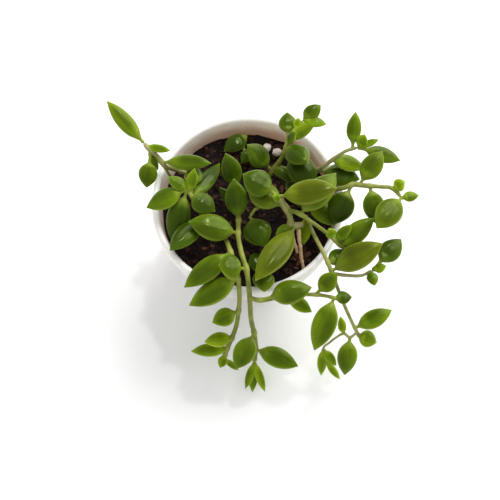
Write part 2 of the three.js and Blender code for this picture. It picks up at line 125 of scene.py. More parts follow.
SHOOTS: dict[str, list[Stem]] = {
    "left_arm": [
        Stem(
            [(-24, 17), (-27, 16, -7), (-32, 15, 0), (-36.5, 14.5, 5), (-39.5, 17.5, 8),
             (-43, 20.5, 9), (-46, 24, 9)],
            {"tip": (1, Tone.FRESH), "hanging": (0.87, Tone.MID), "inner": (0.7, Tone.MID)},
            [
                Bud(0.94, 341, 15, 11.5, 4, 1, Tone.LIME),
                Bud(0.91, 298, -33, 11, 3.5, 1.5, Tone.LIME),
            ],
            girth=(1.1, 0.9),
            dull=0.6,
        ),
        Stem(
            [(-31, 11), (-32.5, 10, -5), (-35, 12, 2), (-38.5, 16, 7.5)],
            girth=(0.8, 0.6),
            dull=0.3,
        ),
    ],
    "inner_left": [
        Stem(
            [(-17.5, -13), (-18, -12, -4), (-19.5, -9, 3), (-22.5, -4.5, 8), (-26, 0.5, 11)],
            {
                "outer": (1, Tone.FRESH), "back": (0.93, Tone.MID), "under": (1, Tone.DEEP),
                "low": (0.57, Tone.DEEP),
            },
            [
                Bud(1, 153, 23, 10, 6, 1.5, Tone.FRESH),
                Bud(0.96, 74, 41, 11, 5, 1.5, Tone.LIME),
                Bud(0.91, 325, 0, 12.5, 9.5, 1.5, Tone.DEEP),
                Bud(0.88, 62, -24, 28.5, 7.5, 4, Tone.DEEP),
            ],
            girth=(0.9, 0.7),
        ),
    ],
    "front_right": [
        Stem(
            [(-6, 8), (-5, -2, -5), (-4, -8.5, 1), (-4, -19.5, 6), (-2.5, -28, 8), (-0.5, -35, 8),
             (0.5, -41.5, 4), (1, -46, -4), (1.5, -50.5, -14), (3, -54, -25), (3.5, -57.5, -36),
             (3, -62, -43)],
            {
                "left": (0.31, Tone.MID), "over": (0.47, Tone.MID), "upright": (0.24, Tone.DEEP),
                "lower": (0.81, Tone.FRESH), "side": (0.93, Tone.FRESH),
            },
            [
                Bud(0.11, 136, 26, 11.5, 5.5, 1.5, Tone.SHADE),
                Bud(1, 251, -22, 13, 4, 1, Tone.LIME),
                Bud(1, 265, -34, 15, 4.5, 1, Tone.LIME),
                Bud(1, 291, -20, 14.5, 4, 1, Tone.BRIGHT),
            ],
            girth=(1, 1.05),
        ),
        Stem(
            [(0.5, -44.5, 0), (3.5, -46, 0.5), (7, -46, 0), (14, -43.5, -3.5), (21.5, -43, -2.5),
             (27.5, -43.5, 0), (33.5, -44.5, 1), (39.5, -46, 0.5)],
            {"rim": (0.13, Tone.MID), "inner": (0.74, Tone.MID), "hanging": (0.93, Tone.FRESH)},
            [
                Bud(0.44, 334, -25, 13.5, 6.5, 1.5, Tone.LIME),
                Bud(0.94, 6, -5, 7.5, 6, 1, Tone.DEEP),
            ],
            girth=(0.9, 0.65),
        ),
    ],
    "front_left": [
        Stem(
            [(-12.5, -8.5), (-11, -13, -4), (-9, -20.5, 3), (-7, -27.5, 7), (-5.5, -33.5, 7),
             (-4, -38.5, 4), (-3.5, -44.5, -1), (-4, -48, -10), (-5, -51.5, -19), (-7, -54.5, -28),
             (-9.5, -58, -36), (-11, -61, -41)],
            {"rim": (0.33, Tone.MID), "wall": (0.46, Tone.FRESH), "hanging": (0.64, Tone.FRESH)},
            [
                Bud(0.85, 189, 11, 12.5, 7, 1, Tone.BRIGHT),
                Bud(0.93, 186, 8, 16.5, 6.5, 1, Tone.LIME),
                Bud(0.97, 249, -12, 6.5, 4.5, 1, Tone.BRIGHT),
                Bud(1, 334, -36, 10, 3, 1, Tone.LIME),
            ],
            girth=(0.95, 1),
        ),
    ],
    "main": [
        Stem(
            [(14.5, -14.5), (17, -14.5, -4), (18.5, -13.5, 3), (18, -10.5, 8), (15.5, -7, 12),
             (13, -4.5, 15)],
            {"top": (1, Tone.OLIVE), "left": (1, Tone.DEEP), "under": (0.82, Tone.BLOOM)},
            [
                Bud(0.6, 227, 0, 9.5, 5.5, 1, Tone.FRESH),
                Bud(0.97, 187, 50, 4.5, 4.5, 1, Tone.FRESH),
            ],
            girth=(1.3, 1.2),
            dull=0.4,
        ),
        Stem(
            [(18.5, -13, 2.5), (20.5, -13.5, 4), (24, -13, 4.5)],
            {"olive": (0.48, Tone.OLIVE)},
            girth=(1.2, 1.1),
            dull=0.9,
            cut=True,
        ),
        Stem(
            [(16.5, -8.5, 10), (22, -11.5, 13), (26.5, -14.5, 12), (31, -17.5, 11), (36.5, -21, 8),
             (40.5, -24, 4)],
            {"behind": (0.24, Tone.MID)},
            [
                Bud(1, 4, 5, 11, 8, 1, Tone.MID),
                Bud(0.95, 35, 20, 19, 9, 1.5, Tone.MID),
                Bud(0.8, 118, 35, 5, 5, 1, Tone.LIME),
                Bud(0.84, 37, 30, 10, 5, 1, Tone.FRESH),
                Bud(0.89, 41, 30, 5.5, 4.5, 1, Tone.MID),
            ],
            girth=(0.95, 0.7),
        ),
    ],
    "right_trailing": [
        Stem(
            [(25.5, 0), (26, -7, -4), (28, -17, 5), (31.5, -26, 8), (34, -31.5, 7), (36, -35.5, 4),
             (38.5, -39.5, -2), (41, -43.5, -8), (44, -47.5, -15), (47.5, -51.5, -23),
             (50.5, -54.5, -29), (53.5, -56.5, -33)],
            {"top": (0.51, Tone.OLIVE), "side": (0.87, Tone.FRESH)},
            [
                Bud(0.13, 266, -4, 12.5, 5.5, 1, Tone.BRIGHT),
                Bud(0.47, 38, -25, 14, 8, 2.5, Tone.DEEP),
                Bud(0.92, 341, -18, 9.5, 8, 1, Tone.LIME),
            ],
            girth=(0.95, 0.65),
            dull=0.25,
        ),
        Stem(
            [(48.5, -53, -25), (45.5, -55, -26), (43, -53, -27), (39.5, -54, -30), (36.5, -55.5, -34),
             (34.5, -56.5, -38), (36, -62, -43)],
            {"lower": (0.13, Tone.FRESH)},
            [
                Bud(0.25, 110, 48, 9, 4, 1, Tone.BRIGHT),
                Bud(0.77, 263, -38, 13.5, 4.5, 1, Tone.BRIGHT),
                Bud(0.78, 312, -19, 9.5, 4.5, 1, Tone.LIME),
                Bud(0.98, 313, -35, 12, 3.5, 1, Tone.BRIGHT),
            ],
            girth=(0.55, 0.45),
            dull=0.8,
        ),
        Stem(
            [(36.5, -35.5, 4), (43, -36, 3), (49, -35.5, 2), (53.5, -33.5, 3)],
            {"far": (1, Tone.DEEP)},
            [
                Bud(0.94, 279, 10, 7, 5, 1, Tone.FRESH),
                Bud(1, 12, 20, 6, 4.5, 1, Tone.LIME),
            ],
            girth=(0.8, 0.6),
            dull=0.7,
        ),
    ],
    "right_high": [
        Stem(
            [(22, 4), (26, 1, -2), (31.5, 1, 6), (38, 1, 10), (42, 1, 12), (45.5, 2, 13),
             (50.5, 1, 14), (57, 0.5, 14), (62, 0, 13.5), (66, -4, 12.5)],
            {
                "under": (0.64, Tone.SHADE), "middle": (0.76, Tone.MID), "end": (1, Tone.BLOOM),
                "back": (0.69, Tone.MID),
            },
            [
                Bud(0.3, 310, 3, 17, 9.5, 1.5, Tone.FRESH),
                Bud(0.92, 27, 30, 6, 6, 1, Tone.BRIGHT),
                Bud(1, 8, 5, 7.5, 5, 1, Tone.FRESH),
            ],
            girth=(1.3, 0.75),
            dull=0.1,
        ),
    ],
    "upper_right": [
        Stem(
            [(24.5, 14), (28.5, 13.5, -2), (32.5, 13.5, 5), (38, 15.5, 11), (42, 17.5, 13),
             (45.5, 18.5, 14), (48, 18.5, 15)],
            {"upright": (0.94, Tone.FRESH), "side": (1, Tone.MID), "under": (0.49, Tone.DEEP)},
            [
                Bud(1, 58, 38, 6.5, 5.5, 1, Tone.LIME),
                Bud(1, 17, 19, 9.5, 3.5, 2, Tone.LIME),
                Bud(0.71, 357, -18, 16, 8, 1, Tone.LIME),
                Bud(0.22, 220, 38, 16, 9, 1, Tone.SHADE),
            ],
            girth=(1.25, 0.6),
            dull=0.7,
        ),
    ],
    "top": [
        Stem(
            [(8.5, 16.5), (10.5, 16, -6), (13.5, 18, 0), (16, 20.5, 5), (17, 22.5, 8), (19, 26.5, 11),
             (24.5, 32.5, 14)],
            {
                "dome": (0.67, Tone.DEEP), "broad": (0.61, Tone.SHADE), "back": (0.73, Tone.MID),
                "left": (0.31, Tone.DEEP),
            },
            [
                Bud(0.73, 5, 70, 8, 6, 1, Tone.FRESH),
                Bud(1, 40, 19, 10, 7, 1, Tone.MID),
                Bud(1, 343, 11, 10.5, 5.5, 1, Tone.LIME),
                Bud(0.74, 30, 26, 14.5, 6.5, 3, Tone.LIME),
                Bud(0.33, 337, 34, 7, 5.5, 2.5, Tone.MID),
                Bud(0.39, 319, 6, 12.5, 6.5, 1.5, Tone.DEEP),
                Bud(0.87, 71, 30, 5.5, 3.5, 1, Tone.BRIGHT),
            ],
            girth=(1.15, 0.75),
        ),
    ],
    "back": [
        Stem(
            [(3, 20), (1, 24.5, -8), (-2, 29, -7.5), (-0.5, 34.5, -6)],
            {},
            [
                Bud(1, 216, 5, 13, 8.5, 1, Tone.SHADE),
                Bud(0.43, 156, 40, 6, 8, 1.5, Tone.SHADE),
            ],
        ),
    ],
    "mid_left": [
        Stem(
            [(-1, 2), (-2.5, 3, -6), (-4.5, 5.5, 0)],
            {"back": (1, Tone.DEEP)},
        ),
    ],
    "middle": [
        Stem(
            [(5, 3), (3, -3, -4), (1, -8, 1)],
            {"round": (1, Tone.DEEP)},
        ),
    ],
    "near": [
        Stem(
            [(10, -21), (8.5, -27, -4), (6.5, -33, 2)],
            {},
            [
                Bud(0.5, 201, 22, 10, 9.5, 2.5, Tone.DEEP),
                Bud(1, 272, 15, 11, 9.5, 1, Tone.MID),
            ],
        ),
    ],
}

AERIAL_ROOTS = {
    "long": [(22, -14.5, 2), (22.5, -18, -1), (23.5, -23.5, -5.5), (24.5, -29, -10)],
    "short": [(19, -15, 1.5), (20, -18.5, -1), (22, -22.5, -6)],
}


# ---- Lines and meshes ----


def spline(points: np.ndarray, steps: int) -> np.ndarray:
    """Draws a smooth line through points, as a centripetal Catmull-Rom curve.

    Args:
        points: The points, one in each row.
        steps: How many steps to take between two points.

    Returns:
        The line's points, from the first given point to the last.
    """
    ends = np.vstack([2 * points[0] - points[1], points, 2 * points[-1] - points[-2]])
    line = []
    for before, start, end, after in zip(ends, ends[1:], ends[2:], ends[3:]):
        pairs = ((before, start), (start, end), (end, after))
        first, middle, last = (max(1e-9, float(np.linalg.norm(b - a)) ** 0.5) for a, b in pairs)
        leave = (start - before) / first - (end - before) / (first + middle) + (end - start) / middle
        arrive = (end - start) / middle - (after - start) / (middle + last) + (after - end) / last
        leave, arrive = leave * middle, arrive * middle
        for share in np.linspace(0, 1, steps, endpoint=False):
            square, cube = share**2, share**3
            line.append(
                start
                + leave * share
                + (3 * (end - start) - 2 * leave - arrive) * square
                + (2 * (start - end) + leave + arrive) * cube
            )
    return np.array(line + [points[-1]])


class Route:
    """A smooth line that is measured by its length."""

    def __init__(self, points: Sequence[Sequence[float]], steps: int = 24) -> None:
        """Draws the line through its points.

        Args:
            points: The points that it passes through, in metres.
            steps: How many steps to take between two points.
        """
        self.line = spline(np.array(points, float), steps)
        pieces = np.linalg.norm(np.diff(self.line, axis=0), axis=1)
        self.places = np.concatenate([[0.0], np.cumsum(pieces)])
        self.length = float(self.places[-1])

    def at(self, share: float) -> Vector:
        """The point at a share of the length."""
        place = share * self.length
        return Vector([float(np.interp(place, self.places, self.line[:, axis])) for axis in range(3)])

    def towards(self, share: float) -> Vector:
        """The direction of travel at a share of the length."""
        step = 0.01
        low, high = max(0.0, share - step), min(1.0, share + step)
        return (self.at(high) - self.at(low)).normalized()


def smooth(value: float, low: float, high: float) -> float:
    """Rises smoothly from 0 at low to 1 at high."""
    share = min(1.0, max(0.0, (value - low) / (high - low)))
    return share * share * (3 - 2 * share)


def bump_at(value: float, centre: float, width: float) -> float:
    """A round bump that is 1 at its centre."""
    return math.exp(-(((value - centre) / width) ** 2))


class Layers:
    """Named numbers on a mesh's points, which the finishes read."""

    def __init__(self, bm: bmesh.types.BMesh, *names: str) -> None:
        """Adds one layer for each name."""
        self.layers = {name: bm.verts.layers.float.new(name) for name in names}

    def put(self, vert: bmesh.types.BMVert, **values: float) -> None:
        """Writes a point's numbers."""
        for name, value in values.items():
            vert[self.layers[name]] = value


def sweep(
    bm: bmesh.types.BMesh,
    route: Route,
    radius: Callable[[float], float],
    sides: int,
    step: float,
    put: Callable[[bmesh.types.BMVert, float, float], None],
    wobble: float = 0.0,
) -> None:
    """Makes a closed round tube along a route: a straight one is cut into rings and then bent.

    Args:
        bm: The empty mesh that the tube is made in.
        route: The line that it follows.
        radius: The radius at a share of the length.
        sides: How many sides the tube has.
        step: The distance between rings.
        put: Writes the layers of a point, from its share of the length and its turn in degrees.
        wobble: How far the tube strays from the line, in metres.
    """
    rings = max(6, round(route.length / step))
    bmesh.ops.create_cone(
        bm, cap_ends=True, segments=sides, radius1=1, radius2=1, depth=rings,
        matrix=Matrix.Translation((0, 0, rings / 2)),
    )
    rails = [edge for edge in bm.edges if abs(edge.verts[0].co.z - edge.verts[1].co.z) > 0.5]
    bmesh.ops.subdivide_edges(bm, edges=rails, cuts=rings - 1)
    across = route.towards(0).orthogonal().normalized()
    frames = []
    for k in range(rings + 1):
        share = k / rings
        ahead = route.towards(share)
        across = (across - across.dot(ahead) * ahead).normalized()
        centre = route.at(share)
        sway = Vector(noise.noise_vector(centre * 220)) * wobble
        frames.append((centre + sway, across.copy(), ahead.cross(across)))
    for vert in bm.verts:
        k = round(vert.co.z)
        turn = math.atan2(vert.co.y, vert.co.x)
        centre, one, two = frames[k]
        reach = radius(k / rings)
        vert.co = centre + reach * (math.cos(turn) * one + math.sin(turn) * two)
        put(vert, k / rings, math.degrees(turn))


def mesh_object(name: str, bm: bmesh.types.BMesh) -> bpy.types.Object:
    """An object in the scene that holds a copy of the mesh."""
    mesh = bpy.data.meshes.new(name)
    bm.to_mesh(mesh)
    thing = bpy.data.objects.new(name, mesh)
    bpy.context.scene.collection.objects.link(thing)
    return thing


def make_piece(
    name: str, bm: bmesh.types.BMesh, material: bpy.types.Material, nodes: Iterable[str] = ()
) -> bpy.types.Object:
    """Turns a mesh into a smooth piece that rides on the body.

    Args:
        name: The piece's name.
        bm: Its mesh, which is freed.
        material: Its finish.
        nodes: The frame's nodes that it stands for.

    Returns:
        The piece.
    """
    bmesh.ops.recalc_face_normals(bm, faces=bm.faces[:])
    piece = mesh_object(name, bm)
    bm.free()
    piece.data.shade_smooth()
    piece.data.materials.append(material)
    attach(piece, BODY)
    if nodes:
        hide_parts(*nodes)
    LOG.info("%s: %d faces", name, len(piece.data.polygons))
    return piece


# ---- Node graphs ----


Input = Union[Socket, float, Sequence[float]]


class Graph:
    """Adds nodes to a tree, and links or sets their inputs."""

    def __init__(self, tree: bpy.types.NodeTree) -> None:
        """Keeps the tree that nodes are added to."""
        self.tree = tree

    def add(self, kind: str, inputs: Optional[dict] = None, **settings: object) -> bpy.types.Node:
        """Adds a node.

        Args:
            kind: The node's type, without its ShaderNode prefix.
            inputs: Values or sockets for its inputs, by name or number.
            **settings: Its other settings.

        Returns:
            The node.
        """
        node = self.tree.nodes.new(kind if kind.startswith("NodeGroup") else "ShaderNode" + kind)
        for key, value in settings.items():
            setattr(node, key, value)
        for key, value in (inputs or {}).items():
            self.feed(node.inputs[key], value)
        return node

    def feed(self, socket: Socket, value: Input) -> None:
        """Links a socket to an input, or sets the input's value."""
        if isinstance(value, Socket):
            self.tree.links.new(value, socket)
        else:
            socket.default_value = (*value, 1.0) if len_of(value) == 3 and socket.type == "RGBA" else value

    def math(self, operation: str, *values: Input) -> Socket:
        """A Math node's output."""
        return self.add("Math", dict(enumerate(values)), operation=operation).outputs[0]

    def times(self, first: Input, second: Input) -> Socket:
        """The product of two values."""
        return self.math("MULTIPLY", first, second)

    def plus(self, first: Input, second: Input) -> Socket:
        """The sum of two values."""
        return self.math("ADD", first, second)

    def minus(self, first: Input, second: Input) -> Socket:
        """What is left of the first value without the second."""
        return self.math("SUBTRACT", first, second)

    def rest(self, value: Input) -> Socket:
        """What is left of 1."""
        return self.minus(1.0, value)

    def mix(self, share: Input, first: Input, second: Input) -> Socket:
        """A colour that goes from first to second as share goes from 0 to 1."""
        node = self.add("Mix", data_type="RGBA")
        for socket, value in zip((node.inputs[0], node.inputs[6], node.inputs[7]), (share, first, second)):
            self.feed(socket, value)
        return node.outputs[2]

    def ramp(self, value: Input, low: Input, high: Input) -> Socket:
        """A smooth step from 0 at low to 1 at high."""
        node = self.add("MapRange", {0: value, 1: low, 2: high}, interpolation_type="SMOOTHSTEP")
        return node.outputs[0]

    def noise(self, where: Socket, scale: Input, detail: float = 2.0) -> Socket:
        """A soft noise pattern's value."""
        return self.add("TexNoise", {"Vector": where, "Scale": scale, "Detail": detail}).outputs["Fac"]

    def attribute(self, name: str) -> Socket:
        """A number on the mesh's points."""
        return self.add("Attribute", attribute_name=name).outputs["Fac"]

    def place(self) -> Socket:
        """Object coordinates."""
        return self.add("TexCoord").outputs["Object"]


def len_of(value: Input) -> int:
    """How many numbers an input holds, or 0 for one number."""
    return len(value) if hasattr(value, "__len__") else 0


def make_group(
    name: str, inputs: dict[str, tuple[str, Input]], outputs: dict[str, str],
    build: Callable[[Graph, dict], dict[str, Socket]],
) -> bpy.types.NodeTree:
    """Makes a shader node group.

    Args:
        name: The group's name.
        inputs: The socket type and first value of each input.
        outputs: The socket type of each output.
        build: Adds the nodes, from the graph and its input sockets, and gives each output's socket.

    Returns:
        The group.
    """
    tree = bpy.data.node_groups.new(name, "ShaderNodeTree")
    for label, (kind, value) in inputs.items():
        socket = tree.interface.new_socket(label, in_out="INPUT", socket_type="NodeSocket" + kind)
        socket.default_value = (*value, 1.0) if kind == "Color" else value
    for label, kind in outputs.items():
        tree.interface.new_socket(label, in_out="OUTPUT", socket_type="NodeSocket" + kind)
    graph = Graph(tree)
    entry = tree.nodes.new("NodeGroupInput")
    made = build(graph, {label: entry.outputs[label] for label in inputs})
    leave = tree.nodes.new("NodeGroupOutput")
    for label, socket in made.items():
        tree.links.new(socket, leave.inputs[label])
    return tree


def grain_group() -> bpy.types.NodeTree:
    """A soft blotch and a fine grain, which every finish uses.

    Returns:
        A group with the outputs Blotch, Grain and Normal.
    """

    def build(graph: Graph, inputs: dict) -> dict[str, Socket]:
        where = graph.place()
        blotch = graph.noise(where, inputs["Blotch scale"], 3)
        grain = graph.noise(where, inputs["Grain scale"], 4)
        both = graph.plus(graph.times(blotch, 0.5), grain)
        bump = graph.add("Bump", {"Height": both, "Strength": inputs["Relief"], "Distance": 0.0002})
        return {
            "Blotch": graph.ramp(blotch, 0.35, 0.65),
            "Grain": graph.ramp(grain, 0.3, 0.7),
            "Normal": bump.outputs[0],
        }

    return make_group(
        "grain",
        {"Blotch scale": ("Float", 80.0), "Grain scale": ("Float", 900.0), "Relief": ("Float", 0.2)},
        {"Blotch": "Float", "Grain": "Float", "Normal": "Vector"},
        build,
    )


def leaf_group() -> bpy.types.NodeTree:
    """The colour of a leaf's skin, from where a point lies on its blade. It paints shade over one side or the
    middle of the upper face, and paints a sheen along the blade's edges.

    Returns:
        A group with the outputs Color and Wax.
    """

    def build(graph: Graph, inputs: dict) -> dict[str, Socket]:
        along, across, face, deep = (graph.attribute(name) for name in ("along", "across", "face", "deep"))
        where = graph.place()
        top = graph.ramp(face, -0.15, 0.35)

        glow = graph.ramp(graph.noise(where, 75, 2), 0.4, 0.66)
        lit = graph.mix(graph.times(glow, inputs["Glow"]), inputs["Green"], inputs["Young"])
        speck = graph.ramp(graph.noise(where, 1700, 3), 0.35, 0.75)
        lit = graph.mix(graph.times(speck, 0.08), lit, inputs["Bloom and sheen"])
        # Painted shade: the upper face darkens towards the line colour on one side or along the middle of the
        # blade.
        painted_shade = graph.times(graph.times(deep, top), inputs["Depth"])
        lit = graph.mix(painted_shade, lit, inputs["Line"])

        waver = graph.times(graph.minus(graph.noise(where, 160, 2), 0.5), 0.55)
        for offset, depth in ((0.22, 0.28), (-0.38, 0.2)):
            beside = graph.math("ABSOLUTE", graph.plus(graph.minus(across, offset), waver))
            line = graph.rest(graph.ramp(beside, 0.0, 0.13))
            lit = graph.mix(graph.times(graph.times(line, top), depth), lit, inputs["Line"])

        # Painted sheen: the blade's edges are lightened towards the bloom colour, as where light catches
        # them.
        edge = graph.ramp(graph.math("ABSOLUTE", across), 0.8, 1.0)
        lit = graph.mix(graph.times(edge, inputs["Edge sheen"]), lit, inputs["Bloom and sheen"])
        base = graph.rest(graph.ramp(along, -0.05, 0.22))
        lit = graph.mix(graph.times(base, 0.75), lit, inputs["Stalk"])
        tip = graph.ramp(along, 0.945, 0.99)
        lit = graph.mix(graph.times(tip, 0.5), lit, inputs["Point"])
        return {"Color": lit, "Wax": graph.plus(graph.times(speck, 0.5), glow)}

    return make_group(
        "leaf skin",
        {
            "Green": ("Color", (0.1, 0.2, 0.02)),
            "Young": ("Color", (0.2, 0.35, 0.03)),
            "Bloom and sheen": ("Color", (0.3, 0.4, 0.15)),
            "Line": ("Color", (0.03, 0.08, 0.01)),
            "Depth": ("Float", 0.72),
            "Stalk": ("Color", (0.25, 0.3, 0.04)),
            "Point": ("Color", (0.3, 0.28, 0.1)),
            "Glow": ("Float", 0.7),
            "Edge sheen": ("Float", 0.5),
        },
        {"Color": "Color", "Wax": "Float"},
        build,
    )


# ---- Finishes ----


class Finish:
    """A finish that is built once, as a material."""

    name: str
    groups: dict[str, bpy.types.NodeTree] = {}

    @classmethod
    def group(cls, name: str, make: Callable[[], bpy.types.NodeTree]) -> bpy.types.NodeTree:
        """A shared node group, made when it is first wanted."""
        if name not in cls.groups:
            cls.groups[name] = make()
        return cls.groups[name]

    @classmethod
    def grain(cls, graph: Graph, blotch: float, grain: float, relief: float) -> bpy.types.Node:
        """Places the grain group, with its own values."""
        tree = cls.group("grain", grain_group)
        return cls.placed(graph, tree, {"Blotch scale": blotch, "Grain scale": grain, "Relief": relief})

    @staticmethod
    def placed(graph: Graph, tree: bpy.types.NodeTree, inputs: dict) -> bpy.types.Node:
        """Adds a group node, whose sockets are there only once its tree is set."""
        node = graph.add("Group", node_tree=tree)
        for key, value in inputs.items():
            graph.feed(node.inputs[key], value)
        return node

    def paint(self, graph: Graph) -> dict[str, Input]:
        """Adds the finish's own nodes, and gives the shader's inputs."""
        raise NotImplementedError

    def build(self) -> bpy.types.Material:
        """Builds the material."""
        material = bpy.data.materials.new(self.name)
        material.use_nodes = True
        graph = Graph(material.node_tree)
        shader = material.node_tree.nodes["Principled BSDF"]
        for label, value in self.paint(graph).items():
            graph.feed(shader.inputs[label], value)
        return material


@dataclass(frozen=True)
class LeafFinish(Finish):
    """A waxy leaf's skin, in linear colours."""

    name: str
    green: Color
    young: Color
    bloom: Color
    glow: float = 0.7
    # How strongly the painted edge sheen lightens the blade's edges.
    rim: float = 0.8
    roughness: float = 0.2
    line_shade: float = 0.36

    def paint(self, graph: Graph) -> dict[str, Input]:
        """The shader's inputs."""
        skin = self.placed(graph, self.group("leaf", leaf_group), {
            "Green": self.green, "Young": self.young, "Bloom and sheen": self.bloom,
            "Line": tuple(self.line_shade * part for part in self.green), "Glow": self.glow, "Edge sheen": self.rim,
        })
        grain = self.grain(graph, 180, 1500, 0.12)
        spread = {"From Max": 1.4, "To Min": self.roughness - 0.04, "To Max": self.roughness + 0.1}
        rough = graph.add("MapRange", {"Value": skin.outputs["Wax"], **spread}).outputs[0]
        return {
            "Base Color": skin.outputs["Color"],
            "Roughness": rough,
            "Normal": grain.outputs["Normal"],
            "Subsurface Weight": 0.18,
            "Subsurface Radius": (0.4, 1.0, 0.1),
            "Subsurface Scale": 0.0015,
            "Specular IOR Level": 0.2,
            "Specular Tint": (0.85, 1.0, 0.4),
        }


# The tones are mostly lighter and darker copies of one green. Besides growth, they paint shade on leaves in
# the tangle and light on leaves that the lamps leave dim.
LEAF_FINISHES = {
    tone: LeafFinish(f"leaf {tone.value}", *skin)
    for tone, skin in {
        Tone.MID: ((0.075, 0.13, 0.002), (0.15, 0.225, 0.003), (0.19, 0.26, 0.02)),
        Tone.FRESH: ((0.1, 0.175, 0.002), (0.19, 0.285, 0.004), (0.24, 0.33, 0.03)),
        Tone.LIME: ((0.16, 0.27, 0.003), (0.27, 0.38, 0.008), (0.32, 0.41, 0.04)),
        Tone.BRIGHT: ((0.23, 0.35, 0.004), (0.36, 0.48, 0.012), (0.4, 0.5, 0.06)),
        Tone.DEEP: ((0.045, 0.088, 0.002), (0.085, 0.145, 0.003), (0.12, 0.18, 0.015), 0.6),
        Tone.SHADE: ((0.03, 0.062, 0.002), (0.06, 0.105, 0.003), (0.09, 0.14, 0.01), 0.5),
        Tone.OLIVE: ((0.095, 0.13, 0.003), (0.165, 0.2, 0.004), (0.22, 0.25, 0.03)),
        Tone.BLOOM: ((0.08, 0.13, 0.003), (0.14, 0.2, 0.006), (0.22, 0.27, 0.04)),
    }.items()
}


@dataclass(frozen=True)
class StemFinish(Finish):
    """A thin fleshy stem, with paler joints."""

    name: str = "stem"
    green: Color = (0.13, 0.16, 0.015)
    straw: Color = (0.24, 0.26, 0.04)
    joint: Color = (0.3, 0.33, 0.06)
    grey: Color = (0.26, 0.25, 0.1)
    dusk: Color = (0.4, 0.36, 0.18)
    woody: Color = (0.08, 0.05, 0.02)

    def paint(self, graph: Graph) -> dict[str, Input]:
        """The shader's inputs."""
        grain = self.grain(graph, 140, 1400, 0.25)
        color = graph.mix(grain.outputs["Blotch"], self.green, self.straw)
        around = graph.attribute("around")
        ridge = graph.math("SINE", graph.times(around, math.radians(5.0)))
        color = graph.mix(graph.ramp(ridge, 0.2, 1.0), color, graph.mix(0.5, color, self.straw))
        color = graph.mix(graph.times(graph.attribute("joint"), 0.7), color, self.joint)
        pale = graph.mix(grain.outputs["Blotch"], self.grey, self.dusk)
        color = graph.mix(graph.attribute("dull"), color, pale)
        color = graph.mix(graph.times(graph.attribute("low"), 0.6), color, self.woody)
        return {
            "Specular IOR Level": 0.25,
            "Base Color": color,
            "Roughness": graph.plus(graph.times(grain.outputs["Grain"], 0.2), 0.4),
            "Normal": grain.outputs["Normal"],
            "Subsurface Weight": 0.1,
            "Subsurface Radius": (0.6, 1.0, 0.2),
            "Subsurface Scale": 0.001,
        }


@dataclass(frozen=True)
class RootFinish(Finish):
    """A dry aerial root."""

    name: str = "aerial root"
    tan: Color = (0.66, 0.4, 0.2)
    pale: Color = (0.8, 0.58, 0.34)
    bark: Color = (0.35, 0.2, 0.09)

    def paint(self, graph: Graph) -> dict[str, Input]:
        """The shader's inputs."""
        grain = self.grain(graph, 300, 1800, 0.5)
        color = graph.mix(grain.outputs["Blotch"], self.tan, self.pale)
        color = graph.mix(graph.times(grain.outputs["Grain"], 0.35), color, self.bark)
        return {
            "Base Color": color,
            "Roughness": 0.75,
            "Normal": grain.outputs["Normal"],
        }


@dataclass(frozen=True)
class PotFinish(Finish):
    """A white glazed bowl. Its inner wall is tan above the soil, partly a soil stain and partly painted
    shade.
    """

    soil_level: float
    name: str = "white glaze"
    white: Color = (0.85, 0.83, 0.8)
    warm: Color = (0.8, 0.74, 0.68)
    # The tan of soil stains, also used as painted shade on the inner wall.
    stain_and_shade: Color = (0.5, 0.37, 0.28)

    def paint(self, graph: Graph) -> dict[str, Input]:
        """The shader's inputs."""
        grain = self.grain(graph, 45, 700, 0.1)
        color = graph.mix(graph.times(grain.outputs["Blotch"], 0.4), self.white, self.warm)
        where = graph.place()
        height = graph.add("SeparateXYZ", {0: where}).outputs["Z"]
        # The tan band on the inner wall, from the soil up towards the lip, is partly soil stain and partly
        # painted shade of the shaded wall.
        ragged = graph.times(graph.noise(where, 150, 4), 0.006)
        over = graph.minus(graph.minus(height, self.soil_level), ragged)
        soil_stain_and_shade = graph.rest(graph.ramp(over, -0.002, 0.006))
        inside = graph.attribute("inside")
        color = graph.mix(graph.times(graph.times(soil_stain_and_shade, inside), 0.6), color, self.stain_and_shade)
        fleck = graph.ramp(graph.noise(where, 600, 2), 0.66, 0.74)
        color = graph.mix(graph.times(graph.times(fleck, inside), 0.3), color, self.stain_and_shade)
        return {
            "Base Color": color,
            "Roughness": graph.plus(graph.times(grain.outputs["Grain"], 0.12), 0.3),
            "Normal": grain.outputs["Normal"],
            "Subsurface Weight": 0.7,
            "Subsurface Radius": (1.0, 0.85, 0.75),
            "Subsurface Scale": 0.006,
        }


@dataclass(frozen=True)
class EarthFinish(Finish):
    """Dark potting mix, or the bark in it. A point's own shade lightens it."""

    name: str
    dark: Color
    light: Color
    relief: float = 0.9

    def paint(self, graph: Graph) -> dict[str, Input]:
        """The shader's inputs."""
        grain = self.grain(graph, 500, 2500, self.relief)
        share = graph.times(graph.attribute("shade"), grain.outputs["Blotch"])
        color = graph.mix(share, self.dark, self.light)
        color = graph.mix(graph.times(grain.outputs["Grain"], 0.35), color, self.dark)
        return {
            "Base Color": color,
            "Roughness": 0.92,
            "Normal": grain.outputs["Normal"],
            "Specular IOR Level": 0.25,
        }


@dataclass(frozen=True)
class FloorFinish(Finish):
    """A plain white floor."""

    name: str = "white floor"
    white: Color = (0.93, 0.93, 0.93)

    def paint(self, graph: Graph) -> dict[str, Input]:
        """The shader's inputs."""
        return {
            "Base Color": self.white,
            "Roughness": 0.9,
            "Specular IOR Level": 0.1,
        }


# ---- Leaves ----


